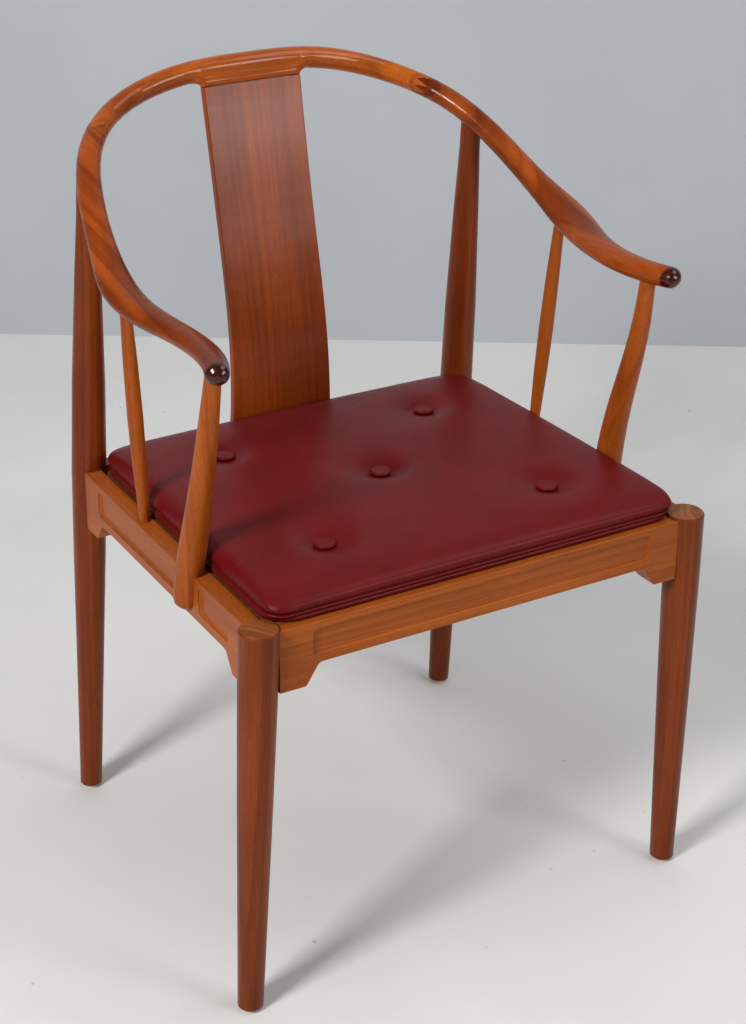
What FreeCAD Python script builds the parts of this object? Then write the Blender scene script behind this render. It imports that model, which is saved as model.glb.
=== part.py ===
# Horseshoe back armchair in solid wood with a framed seat and a loose, buttoned leather cushion.
# A horseshoe rail of three jointed lengths stands on two through back legs, two bent arm posts,
# two turned spindles and an S-bent splat. The seat frame joins four legs with mortise and tenon.
# Millimetres, +Z up. The chair faces -Y; right (-X) and left (+X) are the sitter's.
# The origin is on the floor, under the middle of the chair.
import FreeCAD
import Part
import math
import os

from FreeCAD import Vector

# Driving dimensions: seat frame
seat_front_height = 430.0
seat_tilt_degrees = 1.66
front_rail_face_y = -247.5
back_rail_face_y = 183.0
side_rail_face_x_front = 251.0
side_rail_face_x_back = 241.9
rail_thickness = 26.0
rail_height = 43.0
side_rail_height = 44.5
bracket_height = 65.0
bracket_flat = 43.0
bracket_run = 14.0
bracket_tip_radius = 4.0
bracket_inner_radius = 8.0
rebate_width = 8.0
panel_thickness = 6.0
panel_below_rail_top = 1.0
panel_play = 0.5
panel_corner = 22.0
panel_corner_radius = 3.0
recess_depth = 2.5
recess_top_margin = 7.0
recess_height = 28.0
recess_end_from_leg_axis = 50.5
recess_corner_radius = 6.0
recess_cove = 1.6
recess_gap_at_post = 24.0
rail_edge_round = 1.2
overrun = 10.0
tenon_thickness = 8.0
tenon_from_face = 5.0
tenon_height = 30.0
tenon_below_top = 7.0
tenon_stop_from_axis = 7.0
shoulder_from_axis = 15.5
tenon_past_shoulder = 6.0

# Driving dimensions: legs
front_leg_foot = (256.0, -237.5)
front_leg_top = (243.3, -237.5)
front_leg_rise = 2.5
front_leg_radii = [(0.0, 12.9), (0.25, 15.0), (0.55, 17.4), (0.82, 19.1), (1.0, 19.5)]
back_leg_foot = (236.7, 196.8)
back_leg_top = (225.3, 155.8)
back_leg_height = 738.0
back_leg_radii = [(0.0, 12.3), (0.2, 14.6), (0.42, 17.4), (0.56, 18.5), (0.7, 17.3), (0.86, 13.8), (0.95, 11.2),
                  (1.0, 10.9)]
foot_bevel = 1.6
leg_top_bevel = 1.4
leg_overrun = 3.0
glide_radius = 9.5
glide_height = 3.0
glide_bevel = 1.2
glide_nail_radius = 1.3
glide_nail_length = 16.0
glide_nail_head_radius = 3.0
glide_nail_head_height = 1.0
leg_tenon_radius = 6.0
leg_tenon_length = 16.0
leg_tenon_rise = 5.5

# Driving dimensions: horseshoe rail, as stations from the middle of the back to the left arm's tip:
# x, y, z of the middle, half width, half height, and degrees by which it leans in to the sitter
rail_stations = [
    (0.0, 245.5, 804.6, 10.8, 12.0, 5.0),
    (84.0, 247.0, 799.7, 10.3, 11.7, 7.0),
    (156.0, 232.7, 781.2, 10.4, 11.4, 7.0),
    (209.0, 183.4, 756.2, 11.8, 11.1, 4.0),
    (237.3, 115.2, 719.5, 12.7, 11.2, 1.0),
    (249.3, 59.2, 689.0, 15.0, 11.7, 3.0),
    (254.0, 19.1, 672.5, 19.0, 12.2, 10.0),
    (250.0, -20.6, 663.9, 18.7, 11.7, 12.5),
    (241.0, -62.2, 660.9, 16.0, 10.5, 12.0),
    (236.3, -113.6, 660.8, 14.2, 10.2, 12.0),
    (250.0, -174.5, 661.8, 11.5, 10.7, 9.0),
]
arm_tip_round = 10.0
arm_tip_angles = (20.0, 40.0, 60.0, 78.0)
rail_step = 18.0
finger_joint_at = (193.0, 204.8, 766.0)
finger_length = 18.0
finger_pitch = 7.6
finger_count = 4

# Driving dimensions: arm post, as stations from its lower end up: x, y, the share of the rise from the
# seat's front edge to the middle of the arm over the post, and the radius
post_station_shares = [
    (248.6, -96.8, -0.1863, 13.4),
    (247.6, -98.3, -0.1083, 14.0),
    (245.4, -104.3, 0.0650, 14.0),
    (243.6, -113.4, 0.2426, 13.0),
    (243.2, -123.9, 0.4159, 11.8),
    (243.2, -134.4, 0.5893, 10.6),
    (242.9, -143.2, 0.7669, 9.4),
    (241.6, -148.9, 0.9359, 8.1),
    (241.2, -150.4, 0.9879, 8.0),
]
post_foot_round = 10.0
post_foot_angles = (0.0, 30.0, 60.0, 90.0)
post_step = 21.0
post_tenon_radius = 5.0
post_tenon_length = 7.0
post_tenon_root = 12.0

# Driving dimensions: arm spindle
spindle_foot_place = (235.3, 23.0)
spindle_foot_drop = 16.0
spindle_top_place = (250.9, 17.6)
spindle_top_drop = 10.5
spindle_radii = [(0.0, 5.2), (0.08, 5.6), (0.3, 7.3), (0.5, 7.9), (0.75, 7.2), (1.0, 5.4)]
spindle_tenon_radius = 4.2
spindle_tenon_length = 8.0
spindle_top_tenon_length = 8.0

# Driving dimensions: splat, as stations of its side view: the share of the rise from the seat's front edge
# to the splat's top, and y
splat_station_shares = [(-0.0364, 173.9), (0.0924, 173.2), (0.1989, 175.8), (0.3053, 181.3), (0.4118, 189.0),
                        (0.5182, 198.1), (0.6246, 207.5), (0.7311, 216.5), (0.8375, 225.3), (0.9440, 234.0),
                        (1.0, 238.2)]
splat_thickness = 9.0
splat_half_width_foot = 61.2
splat_half_width_middle = 57.0
splat_half_width_top = 57.4
splat_edge_round = 1.5
splat_step = 20.0
splat_tongue_thickness = 5.0
splat_tongue_length = 10.0
splat_tongue_inset = 12.0
splat_tongue_root = 2.0
lip_drop = 5.6
lip_hollow_width = 8.0
lip_hollow_height = 3.4
lip_height = 12.0

# Driving dimensions: corner blocks and screws
block_leg = 58.0
block_height = 24.0
block_corner_radius = 2.0
screw_radius = 2.0
screw_head_radius = 4.0
screw_head_height = 2.6
screw_head_sink = 1.5
screw_way_in = 40.0
block_screw_length = 34.0
post_screw_length = 25.0
post_screw_heights = (-15.0, -33.0)
block_screw_near_share = 0.44
block_screw_far_share = 0.46
across_depth_share = 0.72
along_depth_share = 0.28
panel_screw_share = 0.24
panel_screw_length = 20.0

# Driving dimensions: cushion, with its rings from the bottom up: inset from the plan, height, and
# the radius of the front and the back corners. The third of the top rings starts the crown.
cushion_clearance = 0.3
cushion_gap_to_splat = 7.4
cushion_behind_front = 7.0
cushion_inside_back = 19.6
cushion_inside_front = 18.5
cushion_band_rings = [(3.0, 0.0, 40.0, 31.0), (0.9, 2.6, 27.0, 29.0), (0.7, 6.6, 19.0, 28.0), (2.4, 9.2, 15.0, 26.0)]
cushion_top_rings = [(2.4, 9.2, 15.0, 26.0), (-1.0, 13.0, 18.0, 29.0), (-0.6, 19.0, 20.0, 30.0),
                     (3.2, 26.0, 22.0, 30.0), (10.0, 31.6, 22.0, 28.0), (21.0, 34.6, 20.0, 25.0)]
cushion_crown = [(174.0, 16.0), (159.0, 23.5), (141.0, 28.5), (100.0, 33.0), (20.0, 36.8), (-80.0, 37.0),
                 (-170.0, 33.5), (-215.0, 29.6), (-238.0, 24.0), (-254.0, 17.0)]
cushion_crown_side_drop = 2.5
cushion_foam_rings = [(3.0, 0.0, 40.0, 31.0), (2.4, 9.2, 15.0, 26.0), (0.4, 16.0, 20.0, 30.0),
                      (10.0, 31.6, 22.0, 28.0), (21.0, 34.6, 20.0, 25.0)]
cushion_top_spare = 24.0
leather_thickness = 1.4
button_places = [(-129.0, -156.0, 22.0), (129.0, -156.0, 22.0), (0.0, -43.0, 22.5), (-121.6, 69.0, 24.5),
                 (121.6, 69.0, 24.5)]
button_radius = 10.8
button_height = 4.0
button_edge = 1.6
tuft_radius = 37.0
tuft_floor_radius = 11.4
under_button_radius = 8.0
under_button_height = 2.0
under_button_lift = 0.3
under_button_play = 0.4
twine_radius = 1.0

tilt = math.radians(seat_tilt_degrees)
front_leg_height = seat_front_height + front_leg_rise
post_rise = rail_stations[-2][2] - seat_front_height
post_stations = [(x, y, seat_front_height + share * post_rise, radius) for x, y, share, radius in post_station_shares]
cushion_front_y = front_rail_face_y + cushion_behind_front
cushion_back_y = splat_station_shares[0][1] - splat_thickness / 2 - cushion_gap_to_splat
spindle_foot = (*spindle_foot_place, seat_front_height - spindle_foot_drop)
spindle_top = (*spindle_top_place, rail_stations[6][2] - spindle_top_drop)
splat_rise = rail_stations[0][2] - rail_stations[0][4] - lip_drop - seat_front_height
splat_stations = [(seat_front_height + share * splat_rise, y) for share, y in splat_station_shares]
X_AXIS = Vector(1, 0, 0)
Y_AXIS = Vector(0, 1, 0)
Z_AXIS = Vector(0, 0, 1)
ORIGIN = Vector(0, 0, 0)


def mirrored(shape):
    """The same piece on the other side of the chair."""
    return shape.mirror(ORIGIN, X_AXIS)


def placed(shape, origin, x_axis, y_axis):
    """The shape with its own x, y and z axes laid along new ones, from a new origin."""
    x_axis = Vector(x_axis).normalize()
    z_axis = x_axis.cross(y_axis).normalize()
    y_axis = z_axis.cross(x_axis)
    matrix = FreeCAD.Matrix(x_axis.x, y_axis.x, z_axis.x, origin.x,
                            x_axis.y, y_axis.y, z_axis.y, origin.y,
                            x_axis.z, y_axis.z, z_axis.z, origin.z,
                            0, 0, 0, 1)
    moved = shape.copy()
    moved.Placement = FreeCAD.Placement(matrix).multiply(shape.Placement)
    return moved


def tilted(shape):
    """A piece of the seat, drawn level, leant back with the seat about the front rail's top edge."""
    leant = shape.copy()
    leant.rotate(Vector(0, front_rail_face_y, seat_front_height), X_AXIS, -seat_tilt_degrees)
    return leant


def rounded_outline(corners):
    """Closed wire of straight runs through corners (x, y, radius), each rounded by its radius."""
    runs = []
    for index, (x, y, radius) in enumerate(corners):
        corner = Vector(x, y, 0)
        before = Vector(corners[index - 1][0], corners[index - 1][1], 0) - corner
        after = Vector(corners[(index + 1) % len(corners)][0], corners[(index + 1) % len(corners)][1], 0) - corner
        before.normalize()
        after.normalize()
        half_angle = before.getAngle(after) / 2
        if radius == 0:
            runs.append((corner, None, corner))
            continue
        reach = radius / math.tan(half_angle)
        middle = (before + after).normalize() * (radius / math.sin(half_angle) - radius)
        runs.append((corner + before * reach, corner + middle, corner + after * reach))
    edges = []
    for index, (start, middle, end) in enumerate(runs):
        if middle is not None:
            edges.append(Part.Arc(start, middle, end).toShape())
        following = runs[(index + 1) % len(runs)][0]
        if following.distanceToPoint(end) > 1e-4:
            edges.append(Part.LineSegment(end, following).toShape())
    return Part.Wire(edges)


def upright(shape):
    """A flat drawing in x and y, stood up so that its y runs along z."""
    stood = shape.copy()
    stood.rotate(ORIGIN, X_AXIS, 90)
    return stood


def seat_top_z(y):
    """Height of the seat frame's top at a place along the chair's depth."""
    return seat_front_height - (y - front_rail_face_y) * math.tan(tilt)


def axis_at(foot, top, height, z):
    """Where a leg's splayed axis passes a height."""
    share = z / height
    return foot[0] + (top[0] - foot[0]) * share, foot[1] + (top[1] - foot[1]) * share


def side_face_x(y):
    """Place of the left side rail's outer face at a depth, between the front and the back leg's axis."""
    front = front_leg_top[1]
    back = axis_at(back_leg_foot, back_leg_top, back_leg_height, seat_top_z(back_rail_face_y))[1]
    return side_rail_face_x_front + (side_rail_face_x_back - side_rail_face_x_front) * (y - front) / (back - front)


def cushion_half_width(y):
    """Half the cushion's width at a depth, from the side rails' outer faces."""
    front = side_face_x(cushion_front_y) - cushion_inside_front
    back = side_face_x(cushion_back_y) - cushion_inside_back
    return front + (back - front) * (y - cushion_front_y) / (cushion_back_y - cushion_front_y)


def side_inner_x(y):
    """Place of the left side rail's inner face at a depth."""
    narrowing = side_face_x(front_rail_face_y) - side_face_x(back_rail_face_y)
    slope = narrowing / (back_rail_face_y - front_rail_face_y)
    return side_face_x(y) - rail_thickness * math.hypot(1, slope)


def turned(start, end, radii):
    """A turned stick between two points, with radii given at shares of its length."""
    start = Vector(*start)
    end = Vector(*end)
    length = (end - start).Length
    circles = [Part.Wire(Part.Circle(Vector(0, 0, share * length), Z_AXIS, radius).toShape())
               for share, radius in radii]
    stick = Part.makeLoft(circles, True, True)
    axis = (end - start).normalize()
    side = X_AXIS - axis * X_AXIS.dot(axis)
    return placed(stick, start, side, axis.cross(side))


def smooth_run(stations, step):
    """Places, directions and sizes at about a step apart on a smooth line through stations."""
    places = [Vector(*station[:3]) for station in stations]
    distances = [0.0]
    for before, after in zip(places, places[1:]):
        distances.append(distances[-1] + (after - before).Length)
    path = Part.BSplineCurve()
    path.interpolate(Points=places, Parameters=distances)
    growths = []
    for values in zip(*[station[3:] for station in stations]):
        growth = Part.BSplineCurve()
        points = [Vector(value, 0, at) for value, at in zip(values, distances)]
        growth.interpolate(Points=points, Parameters=distances)
        growths.append(growth)
    run = []
    for before, after in zip(distances, distances[1:]):
        count = math.ceil((after - before) / step)
        run += [before + (after - before) * index / count for index in range(count)]
    run.append(distances[-1])
    return [(path.value(at), path.tangent(at)[0], [growth.value(at).x for growth in growths]) for at in run]


def screw(start, direction, length):
    """A screw with a flat cylindrical head, driven from a point along a direction."""
    direction = Vector(direction).normalize()
    head = Part.makeCylinder(screw_head_radius, screw_head_height, start, direction)
    shank = Part.makeCylinder(screw_radius, length - screw_head_height, start + direction * screw_head_height,
                              direction)
    return head.fuse(shank).removeSplitter()


def screw_hole(start, direction, length):
    """What a screw takes out of the wood: its own shape, and a straight way in for its head."""
    direction = Vector(direction).normalize()
    way_in = Part.makeCylinder(screw_head_radius, screw_way_in, start - direction * screw_way_in, direction)
    return screw(start, direction, length).fuse(way_in).removeSplitter()


def one_solid(shape):
    """The shape's main solid, without the slivers that a cut leaves."""
    return max(shape.Solids, key=lambda solid: solid.Volume)


def round_edges(shape, radius, wanted):
    """Round the edges that pass the test."""
    edges = [edge for edge in shape.Edges if wanted(edge)]
    return shape.makeFillet(radius, edges)


# Legs


def level_end(stick, centre, radius, bevel, into):
    """The stick cut level at one end, with its edge bevelled evenly all round."""
    reach = back_leg_height
    return stick.common(Part.makeCone(radius - bevel, radius - bevel + reach, reach, centre, into))


def leg(foot, top, height, radii):
    """A round leg on its splayed axis, cut level above its glide, with a bevelled foot."""
    body = turned((foot[0], foot[1], 0), (top[0], top[1], height), radii)
    x, y = axis_at(foot, top, height, glide_height)
    return level_end(body, Vector(x, y, glide_height), radii[0][1], foot_bevel, Z_AXIS)


def front_leg():
    """A front leg, whose flat top shows its end grain just above the seat frame."""
    x, y = axis_at(front_leg_foot, front_leg_top, front_leg_height, front_leg_height + leg_overrun)
    radii = [(share, radius) for share, radius in front_leg_radii]
    body = leg(front_leg_foot, (x, y), front_leg_height + leg_overrun, radii)
    return level_end(body, Vector(front_leg_top[0], front_leg_top[1], front_leg_height), radii[-1][1], leg_top_bevel,
                     Z_AXIS * -1)


def glide(foot):
    """A low round glide under a leg, bevelled at the floor."""
    share = glide_bevel / glide_height
    return turned((foot[0], foot[1], 0), (foot[0], foot[1], glide_height),
                  [(0.0, glide_radius - glide_bevel), (share, glide_radius), (1.0, glide_radius)])


def glide_nail(foot):
    """The nail that holds a glide, its head sunk in the glide."""
    low = Vector(foot[0], foot[1], glide_bevel)
    shank = Part.makeCylinder(glide_nail_radius, glide_nail_length, low)
    head = Part.makeCylinder(glide_nail_head_radius, glide_nail_head_height, low)
    return shank.fuse(head).removeSplitter()


# Horseshoe rail


def rail_section(place, direction, size, share):
    """Oval section of the rail, square to its run, leaning in to the sitter and drawn to a share of its size."""
    half_width, half_height, lean = size
    run = Vector(direction).normalize()
    inward = run.cross(Z_AXIS).normalize()
    upward = inward.cross(run)
    angle = math.radians(lean)
    # the top leans in to the sitter all along, as the rail runs clockwise seen from above
    across = (inward * math.cos(angle) - upward * math.sin(angle)) * half_width * share
    rise = (inward * math.sin(angle) + upward * math.cos(angle)) * half_height * share
    oval = FreeCAD.Matrix(across.x, rise.x, run.x, place.x,
                          across.y, rise.y, run.y, place.y,
                          across.z, rise.z, run.z, place.z,
                          0, 0, 0, 1)
    return Part.Wire(Part.Circle().toShape().transformGeometry(oval).Edges)


def horseshoe():
    """The whole horseshoe rail, from the right arm's domed tip round the back to the left arm's."""
    right = [(-x, y, z, width, height, lean) for x, y, z, width, height, lean in reversed(rail_stations[1:])]
    run = smooth_run(right + rail_stations, rail_step)
    sections = [rail_section(*station, 1) for station in run]
    for end, turn in ((run[0], -1), (run[-1], 1)):
        place, direction, size = end
        tip = []
        for angle in arm_tip_angles:
            along = arm_tip_round * math.sin(math.radians(angle)) * turn
            shrink = math.cos(math.radians(angle))
            tip.append(rail_section(place + Vector(direction) * along, direction, size, shrink))
        sections = sections + tip if turn > 0 else tip[::-1] + sections
    return Part.makeLoft(sections, True, True)


def finger_cutter():
    """Everything in front of the left finger joint: a comb of wedges across the rail's height."""
    near = Vector(*rail_stations[2][:3])
    far = Vector(*rail_stations[3][:3])
    run = (far - near).normalize()
    inward = run.cross(Z_AXIS).normalize()
    rise = inward.cross(run)
    half = finger_count * finger_pitch
    corners = [(-finger_length / 2, -half)]
    for tooth in range(2 * finger_count):
        foot = -half + tooth * finger_pitch
        corners.append((finger_length / 2, foot + finger_pitch / 2))
        corners.append((-finger_length / 2, foot + finger_pitch))
    comb = [(x, y, 0) for x, y in corners]
    # the block reaches past the whole arm, whose run is shorter than the back legs are high
    reach = back_leg_height
    comb += [(-finger_length / 2, reach, 0), (reach, reach, 0), (reach, -reach, 0), (-finger_length / 2, -reach, 0)]
    block = Part.Face(rounded_outline(comb)).extrude(Vector(0, 0, reach))
    return placed(block, Vector(*finger_joint_at) - inward * near.x / 2, run, rise)


def splat_lip():
    """The lip under the middle of the crest rail, with a hollow curve at each end, that meets the splat."""
    bottom = splat_stations[-1][0]
    half = splat_half_width_top
    top = bottom + lip_height
    wide = half + lip_hollow_width
    corners = [(wide, bottom, 0), (wide, top, 0), (-wide, top, 0), (-wide, bottom, 0)]
    face = upright(Part.Face(rounded_outline(corners)))
    back_y = splat_stations[-1][1] + splat_thickness / 2
    board = face.extrude(Vector(0, -splat_thickness, 0))
    board.translate(Vector(0, back_y, 0))
    for side in (-1, 1):
        oval = Part.Ellipse(Vector(side * wide, bottom, 0), lip_hollow_width, lip_hollow_height).toShape()
        hollow = upright(Part.Face(Part.Wire(oval))).extrude(Vector(0, -splat_thickness - 2 * overrun, 0))
        hollow.translate(Vector(0, back_y + overrun, 0))
        board = board.cut(hollow)
    (z_below, y_below), (z_end, y_end) = splat_stations[-2:]
    board.rotate(Vector(0, back_y, bottom), X_AXIS, -math.degrees(math.atan2(y_end - y_below, z_end - z_below)))
    return board


# Seat frame


def seat_rail(length, height, recesses):
    """A seat rail drawn level: x along it, y in from its outer face, top at z = 0.

    It has curved brackets at both ends, a rebate for the seat panel, and shallow sunk fields.
    """
    flat = bracket_flat
    run = bracket_flat + bracket_run
    corners = [(0, 0, 0), (length, 0, 0), (length, -bracket_height, 0),
               (length - flat, -bracket_height, bracket_tip_radius),
               (length - run, -height, bracket_inner_radius),
               (run, -height, bracket_inner_radius),
               (flat, -bracket_height, bracket_tip_radius), (0, -bracket_height, 0)]
    body = upright(Part.Face(rounded_outline(corners))).extrude(Vector(0, rail_thickness, 0))
    body = round_edges(body, rail_edge_round,
                       lambda edge: edge.BoundBox.YMax < recess_depth / 2 and edge.BoundBox.ZMin > -recess_depth / 2
                       and edge.Length > length / 2)
    rebate = Part.makeBox(length, rebate_width, panel_thickness + panel_below_rail_top,
                          Vector(0, rail_thickness - rebate_width, -panel_thickness - panel_below_rail_top))
    body = body.cut(rebate)
    for start, end in recesses:
        low = -recess_top_margin - recess_height
        field = [(start, -recess_top_margin, recess_corner_radius), (end, -recess_top_margin, recess_corner_radius),
                 (end, low, recess_corner_radius), (start, low, recess_corner_radius)]
        sunk = upright(Part.Face(rounded_outline(field))).extrude(Vector(0, recess_depth + overrun, 0))
        sunk.translate(Vector(0, -overrun, 0))
        sunk = sunk.makeChamfer(recess_cove, [edge for edge in sunk.Edges if edge.BoundBox.YMin > recess_depth / 2])
        body = body.cut(sunk)
    return body


def rail_tenon(length):
    """The pair of tenons of a seat rail, drawn as the rail is."""
    pair = []
    root = shoulder_from_axis + tenon_past_shoulder
    for start in (tenon_stop_from_axis, length - root):
        pair.append(Part.makeBox(root - tenon_stop_from_axis, tenon_thickness, tenon_height,
                                 Vector(start, tenon_from_face, -tenon_below_top - tenon_height)))
    return pair


def framed_rail(start, end, height, recesses, legs):
    """A seat rail between two leg axes, coped to the round legs, with its tenons."""
    start = Vector(*start)
    end = Vector(*end)
    along = end - start
    length = along.Length
    inward = Z_AXIS.cross(along).normalize()
    body = seat_rail(length, height, recesses)
    keep = Part.makeBox(length - 2 * shoulder_from_axis, rail_thickness + 2 * overrun, bracket_height + 2 * overrun,
                        Vector(shoulder_from_axis, -overrun, -bracket_height - overrun))
    body = tilted(placed(body.common(keep), start, along, inward))
    body = body.cut(legs)
    tenons = [tilted(placed(tenon, start, along, inward)) for tenon in rail_tenon(length)]
    return body, tenons


def panel_outline(play):
    """Outline of the seat panel: the rebates' inner walls, less the play, with its corners cut at the legs."""
    front = front_rail_face_y + rail_thickness - rebate_width + play
    back = back_rail_face_y - rail_thickness + rebate_width - play

    def edge_x(y):
        return side_inner_x(y) + rebate_width - play

    corner = panel_corner
    places = [(edge_x(front) - corner, front), (edge_x(front + corner), front + corner),
              (edge_x(back - corner), back - corner), (edge_x(back) - corner, back)]
    corners = [(x, y, panel_corner_radius) for x, y in places]
    corners += [(-x, y, radius) for x, y, radius in reversed(corners)]
    return rounded_outline(corners)


def corner_block(y, turn):
    """A three-cornered block glued into a corner of the seat frame, below the panel."""
    corner = side_inner_x(y)
    places = [(corner, y), (corner - block_leg, y), (side_inner_x(y + block_leg * turn), y + block_leg * turn)]
    block = Part.Face(rounded_outline([(*place, block_corner_radius) for place in places]))
    block = block.extrude(Vector(0, 0, -block_height))
    block.translate(Vector(0, 0, seat_front_height - panel_thickness - panel_below_rail_top))
    return tilted(block)


# Splat


def splat():
    """The S-bent splat: a board of even thickness, waisted in front view, with a tongue at each end."""
    low = splat_stations[0][0]
    high = splat_stations[-1][0]
    sections = []
    for place, direction, sizes in smooth_run([(0.0, y, z) for z, y in splat_stations], splat_step):
        share = (place.z - low) / (high - low)
        half = (splat_half_width_foot * (1 - share) * (1 - 2 * share)
                + splat_half_width_middle * 4 * share * (1 - share)
                + splat_half_width_top * share * (2 * share - 1))
        corners = [(half, -splat_thickness / 2), (half, splat_thickness / 2), (-half, splat_thickness / 2),
                   (-half, -splat_thickness / 2)]
        section = rounded_outline([(x, y, splat_edge_round) for x, y in corners])
        sections.append(placed(section, place, X_AXIS, direction.cross(X_AXIS)))
    body = Part.makeLoft(sections, True, True)
    tongues = []
    for (z, y), (z_next, y_next), turn in ((splat_stations[0], splat_stations[1], -1),
                                           (splat_stations[-2], splat_stations[-1], 1)):
        run = Vector(0, y_next - y, z_next - z).normalize() * turn
        end = (z, y) if turn < 0 else (z_next, y_next)
        half = splat_half_width_top - splat_tongue_inset
        tongue = Part.makeBox(2 * half, splat_tongue_thickness, splat_tongue_length + splat_tongue_root,
                              Vector(-half, -splat_tongue_thickness / 2, -splat_tongue_root))
        tongue = placed(tongue, Vector(0, end[1], end[0]), X_AXIS, run.cross(X_AXIS))
        tongues.append(tongue)
    return body, tongues


# Arm posts and spindles


def arm_post():
    """The bent post that carries the arm: round in section, thinning to the top, with a rounded foot."""
    sections = []
    for index, (place, direction, (full,)) in enumerate(smooth_run(post_stations, post_step)):
        rings = [(0.0, full)]
        if index == 0:
            rings = [(post_foot_round * (1 - math.cos(math.radians(angle))),
                      full - post_foot_round * (1 - math.sin(math.radians(angle)))) for angle in post_foot_angles]
        side = X_AXIS - direction * X_AXIS.dot(direction)
        for along, radius in rings:
            circle = Part.Wire(Part.Circle(ORIGIN, Z_AXIS, radius).toShape())
            sections.append(placed(circle, place + direction * along, side, direction.cross(side)))
    return Part.makeLoft(sections, True, True)


# Cushion


def cushion_ring(inset, height, front_radius, back_radius):
    """Plan of the cushion at one height: a trapezium with rounded corners, widest at the front."""
    back = cushion_back_y - inset
    front = cushion_front_y + inset
    at_back = cushion_half_width(back) - inset
    at_front = cushion_half_width(front) - inset
    ring = rounded_outline([(at_front, front, front_radius), (at_back, back, back_radius),
                            (-at_back, back, back_radius), (-at_front, front, front_radius)])
    ring.translate(Vector(0, 0, height))
    return ring


def crown_section(y, height):
    """Across the cushion at a depth y: a flat bottom, upright sides and a slightly crowned top."""
    half = cushion_half_width(cushion_front_y) + overrun
    shoulder = height - cushion_crown_side_drop
    edges = [Part.LineSegment(Vector(-half, y, -overrun), Vector(half, y, -overrun)),
             Part.LineSegment(Vector(half, y, -overrun), Vector(half, y, shoulder)),
             Part.Arc(Vector(half, y, shoulder), Vector(0, y, height), Vector(-half, y, shoulder)),
             Part.LineSegment(Vector(-half, y, shoulder), Vector(-half, y, -overrun))]
    return Part.Wire([edge.toShape() for edge in edges])


def top_of(form, x, y):
    """Height of a solid's top over a place."""
    high = form.BoundBox.ZMax + overrun
    return form.common(Part.makeLine(Vector(x, y, -overrun), Vector(x, y, high))).BoundBox.ZMax


def lie_of_tuft(form, x, y):
    """Height of a tuft's rim on the untufted cushion, and the degrees by which the top rises to the back there."""
    behind = top_of(form, x, y + tuft_radius)
    before = top_of(form, x, y - tuft_radius)
    return (behind + before) / 2, math.degrees(math.atan2(behind - before, 2 * tuft_radius))


def tuft(rim, slope, x, y, floor):
    """The pit that a button pulls into the top: the leather rolls over its rim and down to a flat floor."""
    depth = rim - floor
    run = tuft_radius - tuft_floor_radius
    roll = (run * run + depth * depth) / (2 * depth)
    half_angle = math.asin(run / roll) / 2
    outer = Vector(tuft_radius, 0, 0)
    middle = Vector(tuft_radius - roll * math.sin(half_angle), 0, -roll * (1 - math.cos(half_angle)))
    inner = Vector(tuft_floor_radius, 0, -depth)
    centre = Vector(0, 0, -depth)
    above = Vector(0, 0, cushion_top_spare)
    over = Vector(tuft_radius, 0, cushion_top_spare)
    edges = [Part.LineSegment(above, over), Part.LineSegment(over, outer), Part.Arc(outer, middle, inner),
             Part.LineSegment(inner, centre), Part.LineSegment(centre, above)]
    pit = Part.Face(Part.Wire([edge.toShape() for edge in edges])).revolve(ORIGIN, Z_AXIS, 360)
    pit.rotate(centre, X_AXIS, slope)
    pit.translate(Vector(x, y, rim))
    return pit


def cushion_wall(rings, inset, wire_from):
    """A ruled wall through rings, with their heights pressed in at the bottom and the top by the inset."""
    last = cushion_top_rings[-1][1]
    wires = [cushion_ring(ring_inset + inset, inset + height * (last - 2 * inset) / last, front, back)
             for ring_inset, height, front, back in rings]
    wall = Part.makeLoft(wires, True, True)
    if not wire_from:
        return wall
    return wall.fuse(Part.Face(wires[-1]).extrude(Vector(0, 0, cushion_top_spare)))


def cushion_crown_form(inset):
    """Everything under the cushion's crowned top."""
    return Part.makeLoft([crown_section(y, height - inset) for y, height in cushion_crown], True, True)


def button_recess(x, y, inset):
    """The shallow hollow in the underside for the button that the twine pulls against."""
    return Part.makeCylinder(under_button_radius + under_button_play + inset,
                             under_button_height + under_button_lift + inset, Vector(x, y, 0))


def untufted_form():
    """The cushion as a solid over z = 0: a banded edge, a drawn-in seam and a crowned top."""
    form = cushion_wall(cushion_band_rings, 0, False).fuse(cushion_wall(cushion_top_rings, 0, True))
    return form.common(cushion_crown_form(0))


def cover_form(form, lies):
    """The cushion with its tufts, and the hollows for the buttons underneath."""
    pits = [tuft(*lie, *place) for place, lie in zip(button_places, lies)]
    return one_solid(form.cut(pits + [button_recess(x, y, 0) for x, y, floor in button_places]))


def foam_form():
    """The foam inside the leather, hollowed more plainly under each tuft."""
    form = cushion_wall(cushion_foam_rings, leather_thickness, True).common(cushion_crown_form(leather_thickness))
    pits = [button_recess(x, y, leather_thickness) for x, y, floor in button_places]
    for x, y, floor in button_places:
        low = floor - leather_thickness
        foot = tuft_floor_radius + leather_thickness
        spread = (tuft_radius - foot) / (top_of(form, x, y) - low)
        pits.append(Part.makeCone(foot, foot + spread * cushion_top_spare, cushion_top_spare, Vector(x, y, low)))
    return one_solid(form.cut(pits))


def button(slope, x, y, floor):
    """A leather-covered button with a flat top and a rolled edge, seated on the tuft's floor."""
    rise = button_height / 2
    foot = Vector(button_radius - button_edge, 0, 0)
    brim = Vector(button_radius - button_edge, 0, button_height)
    edges = [Part.LineSegment(ORIGIN, foot), Part.LineSegment(foot, Vector(button_radius, 0, rise)),
             Part.LineSegment(Vector(button_radius, 0, rise), brim), Part.LineSegment(brim, Vector(0, 0, button_height)),
             Part.LineSegment(Vector(0, 0, button_height), ORIGIN)]
    dome = Part.Face(Part.Wire([edge.toShape() for edge in edges])).revolve(ORIGIN, Z_AXIS, 360)
    dome.rotate(ORIGIN, X_AXIS, slope)
    dome.translate(Vector(x, y, floor))
    return dome


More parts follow.
